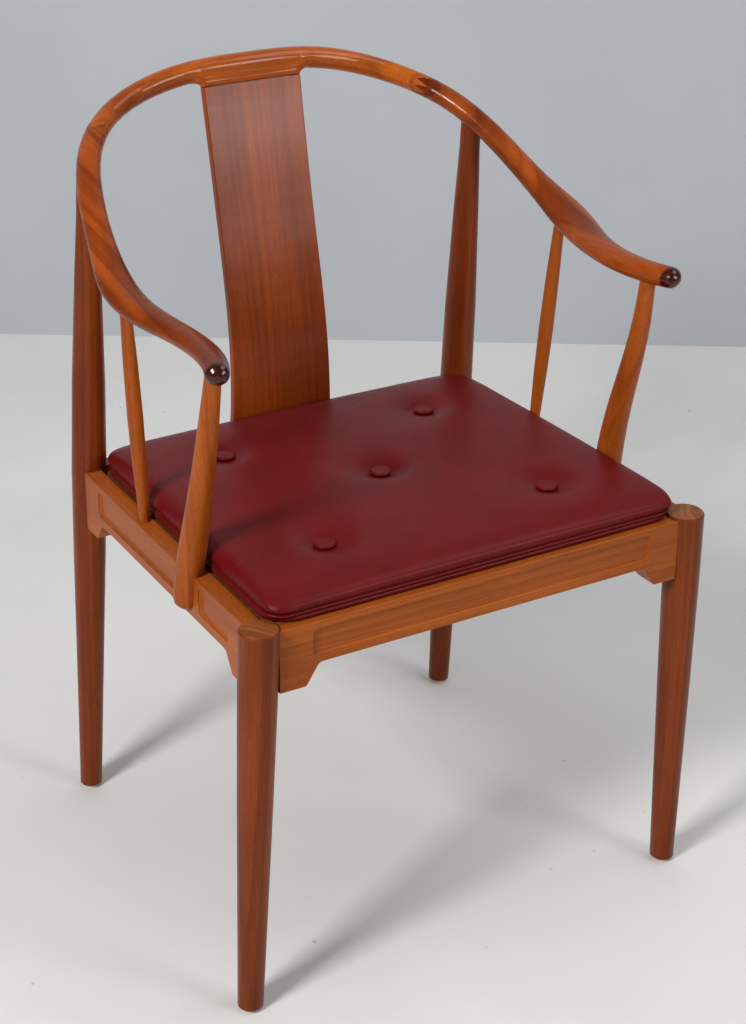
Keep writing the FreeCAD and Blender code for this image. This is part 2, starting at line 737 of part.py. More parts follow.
def under_button(x, y):
    """The flat button under the cushion that the twine pulls against."""
    return Part.makeCylinder(under_button_radius, under_button_height, Vector(x, y, under_button_lift))


def twine(x, y, floor):
    """The twine from the button under the cushion to the one on top."""
    low = under_button_lift + under_button_height
    return Part.makeCylinder(twine_radius, floor - low, Vector(x, y, low))


def on_seat(shape):
    """A piece of the cushion, drawn over z = 0, laid on the leaning seat."""
    laid = shape.copy()
    laid.translate(Vector(0, 0, seat_front_height + cushion_clearance))
    return tilted(laid)


# Putting the chair together

pieces = {}

rail = horseshoe()
front_leg_body = front_leg()
back_leg_body = leg(back_leg_foot, back_leg_top, back_leg_height, back_leg_radii)
back_axis_foot = Vector(back_leg_foot[0], back_leg_foot[1], 0)
back_axis_top = Vector(back_leg_top[0], back_leg_top[1], back_leg_height)
back_run = (back_axis_top - back_axis_foot).normalize()
leg_tenon = Part.makeCylinder(leg_tenon_radius, leg_tenon_length + leg_tenon_rise,
                              back_axis_top - back_run * leg_tenon_length, back_run)
back_leg_body = one_solid(back_leg_body.cut(rail).fuse(leg_tenon))

post = arm_post()
post_top = Vector(*post_stations[-1][:3])
post_run = (post_top - Vector(*post_stations[-2][:3])).normalize()
post_tenon = Part.makeCylinder(post_tenon_radius, post_tenon_length + post_tenon_root,
                               post_top - post_run * post_tenon_root, post_run)
post = one_solid(post.cut(rail).fuse(post_tenon))

spindle_start = Vector(*spindle_foot)
spindle_end = Vector(*spindle_top)
spindle_run = (spindle_end - spindle_start).normalize()
spindle = turned(spindle_foot, spindle_top, spindle_radii)
seat_cut = tilted(Part.makeBox(2 * rail_thickness, 2 * rail_thickness, side_rail_height,
                               Vector(spindle_foot[0] - rail_thickness, spindle_foot[1] - rail_thickness,
                                      seat_front_height - side_rail_height)))
spindle = spindle.cut(seat_cut).cut(rail)
spindle_tenon = Part.makeCylinder(spindle_tenon_radius, (spindle_end - spindle_start).Length
                                  + spindle_tenon_length + spindle_top_tenon_length,
                                  spindle_start - spindle_run * spindle_tenon_length, spindle_run)
spindle = one_solid(spindle.fuse(spindle_tenon))

splat_body, splat_tongues = splat()
rail_level = Vector(0, 0, seat_front_height)
front_y = front_rail_face_y
back_y = back_rail_face_y
side_start = (side_rail_face_x_front, front_leg_top[1], seat_front_height)
back_axis_x, back_axis_y = axis_at(back_leg_foot, back_leg_top, back_leg_height, seat_top_z(back_rail_face_y))
side_end = (side_rail_face_x_back, back_axis_y, seat_front_height)

rails = {}
front_length = 2 * front_leg_top[0]
back_length = 2 * back_axis_x
side_length = (Vector(*side_end) - Vector(*side_start)).Length
post_from_start = post_stations[1][1] - front_leg_top[1]
legs_on_both_sides = [front_leg_body, mirrored(front_leg_body), back_leg_body, mirrored(back_leg_body)]
margin = recess_end_from_leg_axis
rails["front_seat_rail"] = framed_rail((-front_leg_top[0], front_y, seat_front_height),
                                       (front_leg_top[0], front_y, seat_front_height), rail_height,
                                       [(margin, front_length - margin)], legs_on_both_sides)
rails["back_seat_rail"] = framed_rail((back_axis_x, back_y, seat_front_height),
                                      (-back_axis_x, back_y, seat_front_height), rail_height,
                                      [(margin, back_length - margin)], legs_on_both_sides)
rails["side_seat_rail_left"] = framed_rail(side_start, side_end, side_rail_height,
                                           [(margin, post_from_start - recess_gap_at_post),
                                            (post_from_start + recess_gap_at_post, side_length - margin)],
                                           legs_on_both_sides)

# Each joint: the tenons are fused to their rail and cut from the legs that they enter
all_tenons = []
for name, (body, tenons) in rails.items():
    all_tenons += tenons
    rails[name] = body.fuse(tenons)
front_leg_body = front_leg_body.cut(all_tenons)
back_leg_body = back_leg_body.cut(all_tenons)

# Screws of the arm posts, driven from the inside of the side rails
side_rail = rails["side_seat_rail_left"].cut(post).cut(spindle).cut(rails["front_seat_rail"])
post_screws = []
post_foot_y = post_stations[1][1]
for drop in post_screw_heights:
    start = Vector(side_inner_x(post_foot_y) + screw_head_sink, post_foot_y, seat_top_z(post_foot_y) + drop)
    post_screws.append(screw(start, X_AXIS, post_screw_length))
    hole = screw_hole(start, X_AXIS, post_screw_length)
    side_rail = side_rail.cut(hole)
    post = post.cut(hole)
pieces["side_seat_rail_left"] = one_solid(side_rail)
pieces["front_seat_rail"] = one_solid(rails["front_seat_rail"])
back_rail = rails["back_seat_rail"]
pieces["back_seat_rail"] = one_solid(back_rail.cut(splat_body).cut(splat_tongues[0]))

# Splat, let into the back rail and into the crest rail's lip
splat_solid = splat_body.cut(pieces["back_seat_rail"])
for tongue in splat_tongues:
    splat_solid = splat_solid.fuse(tongue)
pieces["back_splat"] = one_solid(splat_solid)

# Horseshoe rail, cut at its two finger joints
cutter = finger_cutter()
arm = rail.common(cutter).cut([leg_tenon, post_tenon, spindle_tenon])
crest = rail.cut([cutter, mirrored(cutter)]).fuse(splat_lip())
crest = crest.cut(pieces["back_splat"])
pieces["crest_rail"] = one_solid(crest)
pieces["arm_left"] = one_solid(arm)

pieces["front_leg_left"] = front_leg_body
pieces["back_leg_left"] = back_leg_body
pieces["arm_post_left"] = one_solid(post)
pieces["arm_spindle_left"] = spindle

# Seat panel, corner blocks and their screws
panel = Part.Face(panel_outline(panel_play)).extrude(Vector(0, 0, -panel_thickness))
panel.translate(Vector(0, 0, seat_front_height - panel_below_rail_top))
panel = tilted(panel)
block_screws = []
panel_screws = []
block_places = {"front": (front_y + rail_thickness, 1), "back": (back_y - rail_thickness, -1)}
for end, (y, turn) in block_places.items():
    x = side_inner_x(y)
    block = corner_block(y, turn)
    top = seat_front_height - panel_thickness - panel_below_rail_top
    near = block_leg * block_screw_near_share
    far = block_leg * block_screw_far_share
    across = (Vector(x - near, y + turn * far, top - block_height * across_depth_share), Vector(0, -turn, 0),
              block_screw_length)
    along = (Vector(x - far, y + turn * near, top - block_height * along_depth_share), X_AXIS, block_screw_length)
    middle = block_leg * panel_screw_share
    down = (Vector(x - middle, y + turn * middle, seat_front_height - panel_below_rail_top), Vector(0, 0, -1),
            panel_screw_length)
    for where in (across, along, down):
        hole = tilted(screw_hole(*where))
        block = block.cut(hole)
        if where is not down:
            pieces["side_seat_rail_left"] = pieces["side_seat_rail_left"].cut(tilted(screw(*where)))
            rail_name = end + "_seat_rail"
            pieces[rail_name] = pieces[rail_name].cut([tilted(screw(*where)), mirrored(tilted(screw(*where)))])
    across, along, down = [tilted(screw(*where)) for where in (across, along, down)]
    panel = panel.cut(down).cut(mirrored(down))
    block_screws += [across, along]
    panel_screws.append(down)
    pieces["corner_block_" + end + "_left"] = one_solid(block)
pieces["seat_panel"] = panel

# Glides under the legs
nails = []
for name, foot in (("front", front_leg_foot), ("back", back_leg_foot)):
    nail = glide_nail(foot)
    nails.append(nail)
    pieces["glide_" + name + "_left"] = glide(foot).cut(nail)
    pieces[name + "_leg_left"] = one_solid(pieces[name + "_leg_left"].cut(nail))

# Right side pieces, and the fasteners of both sides as groups
for name in [name for name in pieces if name.endswith("_left")]:
    pieces[name[:-5] + "_right"] = mirrored(pieces[name])
for name, group in (("arm_post_screws", post_screws), ("corner_block_screws", block_screws),
                    ("seat_panel_screws", panel_screws), ("glide_nails", nails)):
    pieces[name] = Part.makeCompound(group + [mirrored(item) for item in group])

# Cushion: cover, foam, buttons and twine, leant back with the seat
lines = [twine(x, y, floor) for x, y, floor in button_places]
untufted = untufted_form()
lies = [lie_of_tuft(untufted, x, y) for x, y, floor in button_places]
leather = cover_form(untufted, lies)
foam = foam_form()
pieces["cushion_cover"] = on_seat(leather.cut(foam).cut(lines))
pieces["cushion_core"] = on_seat(foam.cut(lines))
pieces["cushion_buttons"] = on_seat(Part.makeCompound([button(slope, *place) for place, (rim, slope)
                                                       in zip(button_places, lies)]))
pieces["cushion_under_buttons"] = on_seat(Part.makeCompound([under_button(x, y) for x, y, floor in button_places]))
pieces["cushion_twine"] = on_seat(Part.makeCompound(lines))

os.makedirs("parts", exist_ok=True)
for name, shape in sorted(pieces.items()):
    shape.exportStep("parts/" + name + ".step")
    box = shape.BoundBox
    print("%-26s solids %d valid %s volume %.0f z %.1f to %.1f" % (name, len(shape.Solids), shape.isValid(),
                                                                   shape.Volume, box.ZMin, box.ZMax))
whole = Part.makeCompound(list(pieces.values())).BoundBox
print("box %.1f %.1f %.1f" % (whole.XMin, whole.YMin, whole.ZMin))
print("to %.1f %.1f %.1f" % (whole.XMax, whole.YMax, whole.ZMax))
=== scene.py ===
import math

import bmesh
import bpy
import numpy as np
from mathutils import Matrix, Vector


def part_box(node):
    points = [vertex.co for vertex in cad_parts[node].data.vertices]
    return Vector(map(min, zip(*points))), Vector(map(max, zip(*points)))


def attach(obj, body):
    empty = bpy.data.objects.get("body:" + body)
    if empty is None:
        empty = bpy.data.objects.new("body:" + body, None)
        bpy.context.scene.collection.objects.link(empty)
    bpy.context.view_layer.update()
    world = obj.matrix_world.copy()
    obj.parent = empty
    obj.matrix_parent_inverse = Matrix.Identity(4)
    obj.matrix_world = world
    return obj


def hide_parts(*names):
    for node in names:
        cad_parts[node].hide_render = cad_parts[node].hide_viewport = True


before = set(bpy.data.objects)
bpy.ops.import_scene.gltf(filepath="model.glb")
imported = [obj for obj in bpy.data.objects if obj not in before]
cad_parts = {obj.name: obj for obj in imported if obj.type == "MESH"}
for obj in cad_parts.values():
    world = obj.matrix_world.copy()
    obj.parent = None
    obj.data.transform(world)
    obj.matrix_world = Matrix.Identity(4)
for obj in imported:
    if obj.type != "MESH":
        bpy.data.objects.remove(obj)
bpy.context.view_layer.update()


# The four legs
#
# Round sticks of solid cherry, splayed a little and tapered to the foot. The front pair ends level
# with the seat, where its end grain shows; the back pair runs on up to the horseshoe rail.

leg_tones = ((136, 61, 23), (84, 28, 9))
leg_end_tones = ((138, 80, 40), (112, 60, 28))
leg_end_facing = 0.80
leg_gloss = 0.34
leg_coat = 0.16
leg_axis_inset = 0.016
tree_heart = (0.055, 0.035)
back_heart_share = 0.6

# The wood's noises are given by their spots' width and length, their detail and their roughness.
ring_spacing = 0.0042
ring_length = 0.9
ring_detail = 2
ring_roughness = 0.55
wander_noise = (0.06, 0.45, 2, 0.5)
fibre_noise = (0.0009, 0.05, 3, 0.6)
pore_noise = (0.00042, 0.011, 1, 0.5)
cloud_noise = (0.05, 0.22, 2, 0.5)
wander_reach = 0.02
ring_band = (0.32, 0.70)
cloud_band = (0.35, 0.70)
fibre_band = (0.35, 0.75)
pore_band = (0.60, 0.72)
sawn_band = (0.35, 0.65)
ring_depth = 0.5
cloud_depth = 0.5
fibre_depth = 0.34
pore_depth = 0.45
sawn_pore_depth = 0.6
fibre_shade = 0.72
pore_shade = 0.5
end_fade = 0.14
lacquer_band = (0.3, 0.8)
lacquer_smoother = 0.04
lacquer_rougher = 0.08
lacquer_specular = 0.12
lacquer_tint = (1.0, 0.74, 0.48, 1.0)
coat_gloss_share = 0.45
grain_relief = 0.16
grain_relief_depth = 0.00025
fibre_relief = 0.5


def paint(red, green, blue):
    """A colour given as it looks on a screen, from 0 to 255, in the linear values that a shader takes."""
    shares = [value / 255 for value in (red, green, blue)]
    return [share / 12.92 if share <= 0.04045 else ((share + 0.055) / 1.055) ** 2.4
            for share in shares] + [1.0]


def shade(colour, share):
    """A darker shade of a colour."""
    return paint(*[value * share for value in colour])


def link(tree, *ends):
    """Links output to input, two by two."""
    for output, socket in zip(ends[::2], ends[1::2]):
        tree.links.new(output, socket)


def set_inputs(node, **values):
    """Sets a node's inputs, named with an underscore for each space."""
    for label, value in values.items():
        node.inputs[label.replace("_", " ")].default_value = value


def new_material(name):
    """A material, its node tree and shader, and the place of each spot on the piece."""
    material = bpy.data.materials.new(name)
    material.use_nodes = True
    tree = material.node_tree
    place = tree.nodes.new("ShaderNodeTexCoord").outputs["Object"]
    return material, tree, tree.nodes["Principled BSDF"], place


def arithmetic(tree, operation, *values):
    """A Math node fed with numbers or other nodes' outputs."""
    node = tree.nodes.new("ShaderNodeMath")
    node.operation = operation
    for socket, value in zip(node.inputs, values):
        if isinstance(value, (int, float)):
            socket.default_value = value
        else:
            link(tree, value, socket)
    return node.outputs[0]


def noise(tree, place, scale, detail=2.0, roughness=0.5):
    """Cloudy noise over a place."""
    node = tree.nodes.new("ShaderNodeTexNoise")
    set_inputs(node, Scale=scale, Detail=detail, Roughness=roughness)
    link(tree, place, node.inputs["Vector"])
    return node.outputs["Fac"]


def stretched_noise(tree, x, y, along, width, length, detail, roughness):
    """Noise drawn out along the grain: its spots are about width across and length along."""
    place = tree.nodes.new("ShaderNodeCombineXYZ")
    link(tree, arithmetic(tree, "DIVIDE", x, width), place.inputs[0],
         arithmetic(tree, "DIVIDE", y, width), place.inputs[1],
         arithmetic(tree, "DIVIDE", along, length), place.inputs[2])
    return noise(tree, place.outputs[0], 1.0, detail, roughness)


def spread(tree, value, low, high, to_low=0.0, to_high=1.0):
    """A value's range from low to high laid over another range, and held at its ends."""
    node = tree.nodes.new("ShaderNodeMapRange")
    node.interpolation_type = "SMOOTHSTEP"
    for socket, number in zip(node.inputs[1:5], (low, high, to_low, to_high)):
        socket.default_value = number
    link(tree, value, node.inputs[0])
    return node.outputs[0]


def blended(tree, share, first, second):
    """Two colours mixed by a share."""
    node = tree.nodes.new("ShaderNodeMix")
    node.data_type = "RGBA"
    for socket, value in zip((node.inputs[0], node.inputs[6], node.inputs[7]), (share, first, second)):
        if isinstance(value, (list, tuple)):
            socket.default_value = value
        else:
            link(tree, value, socket)
    return node.outputs[2]


def bumped(tree, shader, height, strength, depth):
    """Gives a surface a fine relief."""
    bump = tree.nodes.new("ShaderNodeBump")
    set_inputs(bump, Strength=strength, Distance=depth)
    link(tree, height, bump.inputs["Height"], bump.outputs["Normal"], shader.inputs["Normal"])


def grain_axes(tree, place, start, grain):
    """A place measured across and along the grain, from where the grain starts."""
    turned = tree.nodes.new("ShaderNodeMapping")
    turned.vector_type = "TEXTURE"
    set_inputs(turned, Location=start, Rotation=Vector((0, 0, 1)).rotation_difference(grain).to_euler())
    axes = tree.nodes.new("ShaderNodeSeparateXYZ")
    link(tree, place, turned.inputs[0], turned.outputs[0], axes.inputs[0])
    return axes.outputs


def heart_distance(tree, x, y, along, heart):
    """Distance from the tree's heart, which wanders a little along the grain."""
    wander = stretched_noise(tree, x, y, along, *wander_noise)
    drift = arithmetic(tree, "MULTIPLY", arithmetic(tree, "SUBTRACT", wander, 0.5), wander_reach)
    across = arithmetic(tree, "ADD", arithmetic(tree, "SUBTRACT", x, heart[0]), drift)
    aside = arithmetic(tree, "SUBTRACT", y, heart[1])
    squares = [arithmetic(tree, "POWER", distance, 2) for distance in (across, aside)]
    return arithmetic(tree, "SQRT", arithmetic(tree, "ADD", *squares))


def facing_grain(tree, grain, least):
    """How far a spot belongs to a sawn end, by how squarely it faces along the grain."""
    facing = tree.nodes.new("ShaderNodeVectorMath")
    facing.operation = "DOT_PRODUCT"
    facing.inputs[1].default_value = grain
    link(tree, tree.nodes.new("ShaderNodeNewGeometry").outputs["Normal"], facing.inputs[0])
    return spread(tree, arithmetic(tree, "ABSOLUTE", facing.outputs["Value"]), least, least + end_fade)


def before_place(tree, place, y, fade):
    """How far a spot lies in front of a place in Y."""
    depth = tree.nodes.new("ShaderNodeSeparateXYZ")
    link(tree, place, depth.inputs[0])
    return spread(tree, depth.outputs["Y"], y - fade, y + fade, 1.0, 0.0)


def lacquered_cherry(name, start, end, tones, gloss, coat, heart=tree_heart, rings=ring_spacing,
                     figure=ring_depth, clouds=cloud_depth, end_tones=None, end_facing=leg_end_facing,
                     tip=None):
    """Wood with its grain from start to end: growth rings, fibres and open pores, under lacquer or bare."""
    material, tree, shader, place = new_material(name)
    light, dark = tones
    grain = (Vector(end) - Vector(start)).normalized()
    x, y, along = grain_axes(tree, place, start, grain)
    from_heart = heart_distance(tree, x, y, along, heart)
    ring = stretched_noise(tree, from_heart, 0.0, along, rings, ring_length, ring_detail, ring_roughness)
    fibre = stretched_noise(tree, x, y, along, *fibre_noise)
    pore = spread(tree, stretched_noise(tree, x, y, along, *pore_noise), *pore_band)
    cloud = stretched_noise(tree, x, y, along, *cloud_noise)

    tone = blended(tree, spread(tree, ring, *ring_band, 0.0, figure), paint(*light), paint(*dark))
    tone = blended(tree, spread(tree, cloud, *cloud_band, 0.0, clouds), tone, paint(*dark))
    tone = blended(tree, spread(tree, fibre, *fibre_band, 0.0, fibre_depth), tone, shade(dark, fibre_shade))
    tone = blended(tree, arithmetic(tree, "MULTIPLY", pore, pore_depth), tone, shade(dark, pore_shade))
    set_inputs(shader, Coat_Weight=coat)
    if end_tones:
        cut_end = facing_grain(tree, grain, end_facing)
        if tip:
            in_tip = before_place(tree, place, tip["y"], tip["fade"])
            beside_tip = arithmetic(tree, "MULTIPLY", cut_end, tip["beside"])
            cut_end = arithmetic(tree, "MAXIMUM", beside_tip, in_tip)
            glossier = arithmetic(tree, "MULTIPLY_ADD", in_tip, tip["coat"] - coat, coat)
            link(tree, glossier, shader.inputs["Coat Weight"])
        sawn = blended(tree, spread(tree, ring, *sawn_band), paint(*end_tones[0]), paint(*end_tones[1]))
        sawn = blended(tree, arithmetic(tree, "MULTIPLY", pore, sawn_pore_depth), sawn,
                       shade(end_tones[1], pore_shade))
        tone = blended(tree, cut_end, tone, sawn)
    rough = spread(tree, fibre, *lacquer_band, gloss - lacquer_smoother, gloss + lacquer_rougher)
    link(tree, tone, shader.inputs["Base Color"], rough, shader.inputs["Roughness"])
    set_inputs(shader, Coat_Roughness=gloss * coat_gloss_share, Specular_IOR_Level=lacquer_specular,
               Specular_Tint=lacquer_tint)
    relief = arithmetic(tree, "SUBTRACT", arithmetic(tree, "MULTIPLY", fibre, fibre_relief), pore)
    bumped(tree, shader, relief, grain_relief, grain_relief_depth)
    return material


def finish(material, *nodes):
    """Gives CAD pieces their finish."""
    for node in nodes:
        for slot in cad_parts[node].material_slots:
            slot.material = material


def side_of(name):
    """1 for a piece on the sitter's left, -1 for one on the right."""
    return 1 if name.endswith("left") else -1


for name in ("front_leg_left", "front_leg_right", "back_leg_left", "back_leg_right"):
    low, high = [Vector(corner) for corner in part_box(name)]
    middle = (low + high) / 2
    side = side_of(name)
    outer, inner = (high.x, low.x) if side > 0 else (low.x, high.x)
    back = name.startswith("back")
    foot = Vector((outer - side * leg_axis_inset, high.y - leg_axis_inset if back else middle.y, low.z))
    top = Vector((inner + side * leg_axis_inset, low.y + leg_axis_inset if back else middle.y, high.z))
    heart = (tree_heart[0] * side, tree_heart[1] * (back_heart_share if back else -1.0))
    finish(lacquered_cherry("cherry_" + name, foot, top, leg_tones, leg_gloss, leg_coat, heart,
                            end_tones=None if back else leg_end_tones), name)


# The seat frame
#
# Four rails of the same wood, tenoned into the legs, with sunk fields on their faces and curved
# brackets at their ends. The grain runs along each rail, and the wood is a little paler.

rail_tones = ((176, 92, 32), (128, 56, 14))
rail_gloss = 0.36
rail_coat = 0.16
rail_heart = (0.09, -0.03)
rail_rings = 0.0056
rail_grain_fall = 0.01

for name in ("front_seat_rail", "back_seat_rail", "side_seat_rail_left", "side_seat_rail_right"):
    low, high = [Vector(corner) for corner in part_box(name)]
    middle = (low + high) / 2
    if name.startswith("side"):
        start, end = (middle.x, low.y, middle.z), (middle.x, high.y, middle.z - rail_grain_fall)
    else:
        start, end = (low.x, middle.y, middle.z), (high.x, middle.y, middle.z)
    finish(lacquered_cherry("cherry_" + name, start, end, rail_tones, rail_gloss, rail_coat, rail_heart,
                            rail_rings), name)


# Seat panel, corner blocks and screws
#
# The plywood panel under the cushion and the glued blocks in the corners are a dull brown, darkened
# as painted shade for the panel's strip in the shadowed gap under the cushion's edge. The screws that
# hold them and the arm posts, and the nails of the glides, are zinc plated steel.

# Painted shade: the panel's and blocks' brown is darkened so the strip under the cushion's edge looks
# shadowed.
panel_shade_tones = ((112, 66, 34), (86, 48, 22))
panel_gloss = 0.6
panel_heart = (0.02, 0.3)
panel_rings = 0.009
zinc_tones = ((196, 192, 180), (168, 164, 150))
zinc_scale = 420.0
zinc_detail = 2.0
zinc_gloss = (0.28, 0.45)
speckle_band = (0.3, 0.7)


def speckled(name, tones, scale, detail, gloss, metallic=0.0):
    """Metal or plastic whose colour and gloss are faintly blotched."""
    material, tree, shader, place = new_material(name)
    blotch = noise(tree, place, scale, detail)
    link(tree, blended(tree, blotch, paint(*tones[0]), paint(*tones[1])), shader.inputs["Base Color"],
         spread(tree, blotch, *speckle_band, *gloss), shader.inputs["Roughness"])
    set_inputs(shader, Metallic=metallic)
    return material


for name in ("seat_panel", "corner_block_front_left", "corner_block_front_right", "corner_block_back_left",
             "corner_block_back_right"):
    low, high = [Vector(corner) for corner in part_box(name)]
    finish(lacquered_cherry("stained_" + name, low, (high.x, low.y, low.z), panel_shade_tones, panel_gloss, 0.0,
                            panel_heart, panel_rings), name)
finish(speckled("zinc_plate", zinc_tones, zinc_scale, zinc_detail, zinc_gloss, 1.0),
       "corner_block_screws", "seat_panel_screws", "arm_post_screws", "glide_nails")


# Splat
#
# One board of darker cherry, bent in an S, with its grain upright and its lacquer a little duller than
# the horseshoe rail's. A tongue at each end lets it into the back seat rail and the crest's lip.

splat_tones = ((150, 64, 16), (86, 26, 5))
splat_gloss = 0.40
splat_coat = 0.44
splat_heart = (0.60, -0.10)
splat_rings = 0.0062
splat_figure = 0.36

low, high = [Vector(corner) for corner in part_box("back_splat")]
finish(lacquered_cherry("cherry_splat", (0.0, low.y, low.z), (0.0, high.y, high.z), splat_tones, splat_gloss,
                        splat_coat, splat_heart, splat_rings, splat_figure), "back_splat")


# Arm posts and spindles
#
# The cherry posts are sawn to a curve, rounded, and screwed to the side rails. The spindles are
# turned sticks of the same wood. Both go up into the arms with round tenons.

post_tones = ((172, 86, 26), (126, 52, 10))
post_gloss = 0.36
post_coat = 0.16
post_heart = (0.05, 0.03)
post_grain_lean = 0.004

for name in ("arm_post_left", "arm_post_right", "arm_spindle_left", "arm_spindle_right"):
    low, high = [Vector(corner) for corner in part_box(name)]
    middle = (low + high) / 2
    side = side_of(name)
    finish(lacquered_cherry("cherry_" + name, (middle.x, middle.y, low.z),
                            (middle.x + post_grain_lean * side, middle.y, high.z), post_tones, post_gloss,
                            post_coat, (post_heart[0] * side, post_heart[1])), name)


# The horseshoe rail
#
# Three lengths sawn from thick cherry boards, finger jointed and carved round: the crest over the
# back, and two arms whose boards run forward, so the grain turns at the joints. The tips are dark.

crest_tones = ((192, 96, 28), (112, 38, 6))
crest_gloss = 0.28
crest_coat = 0.45
crest_heart = (0.05, 0.06)
crest_rings = 0.005
crest_clouds = 0.6
crest_merge = 0.00002
crest_voxel = 0.0009
relax_step = 0.5
evening_step = 0.12
evening_rounds = 6

# The lip under the crest takes the splat's tongue. Its faces are blended into the rail.
lip_tongue = 0.0097
lip_half_width = 0.0574
lip_blend_height = 0.017
lip_blend_fade = 0.004
lip_face_foot = 0.0012
lip_face_fade = 0.0025
lip_end_gap = 0.0004
lip_end_fade = 0.002
lip_reach = 0.022
lip_reach_fade = 0.006
lip_face_rounds = 110
lip_end_rounds = 50
lip_overlap = 0.0012
lip_overlap_foot = 0.0015
lip_overlap_fade = 0.001

arm_tones = ((166, 76, 23), (80, 22, 6))
arm_gloss = 0.26
arm_coat = 0.22
arm_heart = (0.05, 0.04)
arm_rings = 0.007
arm_figure = 0.55
arm_clouds = 0.9
arm_grain_turn = (0.01, 0.05)
arm_end_tones = ((70, 20, 14), (46, 12, 9))
arm_end_facing = 0.75
arm_tip_length = 0.0115
arm_tip_fade = 0.0012
arm_tip_coat = 0.6
arm_end_share = 0.4


def evaluated_mesh(piece):
    """The plain mesh that a piece and its modifiers make."""
    graph = bpy.context.evaluated_depsgraph_get()
    graph.update()
    return bpy.data.meshes.new_from_object(piece.evaluated_get(graph), depsgraph=graph)


def apply_modifiers(piece):
    """Turns a piece and its modifiers into a plain mesh."""
    mesh = evaluated_mesh(piece)
    piece.modifiers.clear()
    piece.data = mesh


def new_piece(name, data):
    """A new object in the scene."""
    piece = bpy.data.objects.new(name, data)
    bpy.context.collection.objects.link(piece)
    return piece


def mesh_piece(name, form):
    """A new object from a bmesh, which is spent."""
    mesh = bpy.data.meshes.new(name)
    form.to_mesh(mesh)
    form.free()
    return new_piece(name, mesh)


def even_squares(piece, size):
    """Remeshes a piece in even squares."""
    remesh = piece.modifiers.new("even_squares", "REMESH")
    remesh.mode = "VOXEL"
    remesh.voxel_size = size
    apply_modifiers(piece)


def clothe(piece, material):
    """Gives a piece of the scene one material."""
    piece.data.materials.clear()
    piece.data.materials.append(material)


def read_points(mesh):
    """A mesh's vertices as rows."""
    points = np.empty(len(mesh.vertices) * 3)
    mesh.vertices.foreach_get("co", points)
    return points.reshape(-1, 3)


def write_points(mesh, points):
    """Rows back to a mesh's vertices."""
    mesh.vertices.foreach_set("co", np.ascontiguousarray(points).ravel())
    mesh.update()


def faded(distance, width):
    """A share that goes from 0 at no distance to 1 at a width."""
    return np.clip(distance / width, 0, 1)


def relaxed(mesh, points, weights, rounds):
    """Points drawn towards the middle of their neighbours, each by its weight."""
    ends = np.empty(len(mesh.edges) * 2, dtype=np.int64)
    mesh.edges.foreach_get("vertices", ends)
    first, second = ends.reshape(-1, 2).T
    count = np.bincount(ends, minlength=len(points))[:, None]
    for turn in range(rounds):
        total = np.zeros_like(points)
        np.add.at(total, first, points[second])
        np.add.at(total, second, points[first])
        points = points + (total / count - points) * weights[:, None]
    return points


merged = bmesh.new()
merged.from_mesh(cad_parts["crest_rail"].data)
bmesh.ops.remove_doubles(merged, verts=merged.verts, dist=crest_merge)
crest = mesh_piece("crest_blended", merged)
even_squares(crest, crest_voxel)

points = read_points(crest.data)
lip_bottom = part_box("back_splat")[1][2] - lip_tongue
height = points[:, 2] - lip_bottom
from_middle = np.abs(points[:, 0])
over_lip = faded(height - lip_face_foot, lip_face_fade)
under_rail = faded(lip_blend_height - height, lip_blend_fade)
past_splat = faded(from_middle - lip_half_width - lip_end_gap, lip_end_fade)
near_lip = faded(lip_half_width + lip_reach - from_middle, lip_reach_fade)
points = relaxed(crest.data, points, np.full(len(points), evening_step), evening_rounds)
points = relaxed(crest.data, points, relax_step * past_splat * under_rail * near_lip, lip_end_rounds)
on_lip = over_lip * under_rail * near_lip
points[:, 1] = relaxed(crest.data, points, relax_step * on_lip, lip_face_rounds)[:, 1]
foot = faded(lip_bottom + lip_overlap_foot - points[:, 2], lip_overlap_fade)
on_splat = foot * (from_middle < lip_half_width)
points[:, 2] -= lip_overlap * on_splat
write_points(crest.data, points)
crest.data.shade_smooth()

low, high = [Vector(corner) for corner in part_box("crest_rail")]
clothe(crest, lacquered_cherry("cherry_crest", (low.x, high.y, high.z), (high.x, high.y, high.z), crest_tones,
                               crest_gloss, crest_coat, crest_heart, crest_rings, clouds=crest_clouds))
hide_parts("crest_rail")
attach(crest, "chair")

for name in ("arm_left", "arm_right"):
    low, high = [Vector(corner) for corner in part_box(name)]
    side = side_of(name)
    outer = high.x if side > 0 else low.x
    tip = {"y": low.y + arm_tip_length, "fade": arm_tip_fade, "coat": arm_tip_coat, "beside": arm_end_share}
    finish(lacquered_cherry("cherry_" + name, (outer, low.y, low.z),
                            (outer - side * arm_grain_turn[0], high.y, low.z + arm_grain_turn[1]), arm_tones,
                            arm_gloss, arm_coat, (arm_heart[0] * side, arm_heart[1]), arm_rings, arm_figure,
                            arm_clouds, arm_end_tones, arm_end_facing, tip), name)


# Glides
#
# Small pale plastic discs under the legs, each held by a nail through its middle. The floor has
# scuffed them dull.

glide_tones = ((214, 206, 184), (180, 170, 146))
glide_scale = 300.0
glide_detail = 4.0
glide_gloss = (0.45, 0.7)

finish(speckled("pale_plastic", glide_tones, glide_scale, glide_detail, glide_gloss),
       "glide_front_left", "glide_front_right", "glide_back_left", "glide_back_right")


# The cushion's pad
#
# A thin foam pad in wine red leather. It is a trapezium, widest at the front, with a crowned top
# that rolls over to a seam low on its edge and is drawn down to a button at five places.

seat_front_y = -0.2475
seat_front_z = 0.430
seat_lean = math.radians(1.66)
pad_lift = 0.0003
pad_back_y = 0.162
pad_front_y = -0.2405
pad_half_back = 0.2225
pad_half_front = 0.2325
side_points = 56
corner_points = 12

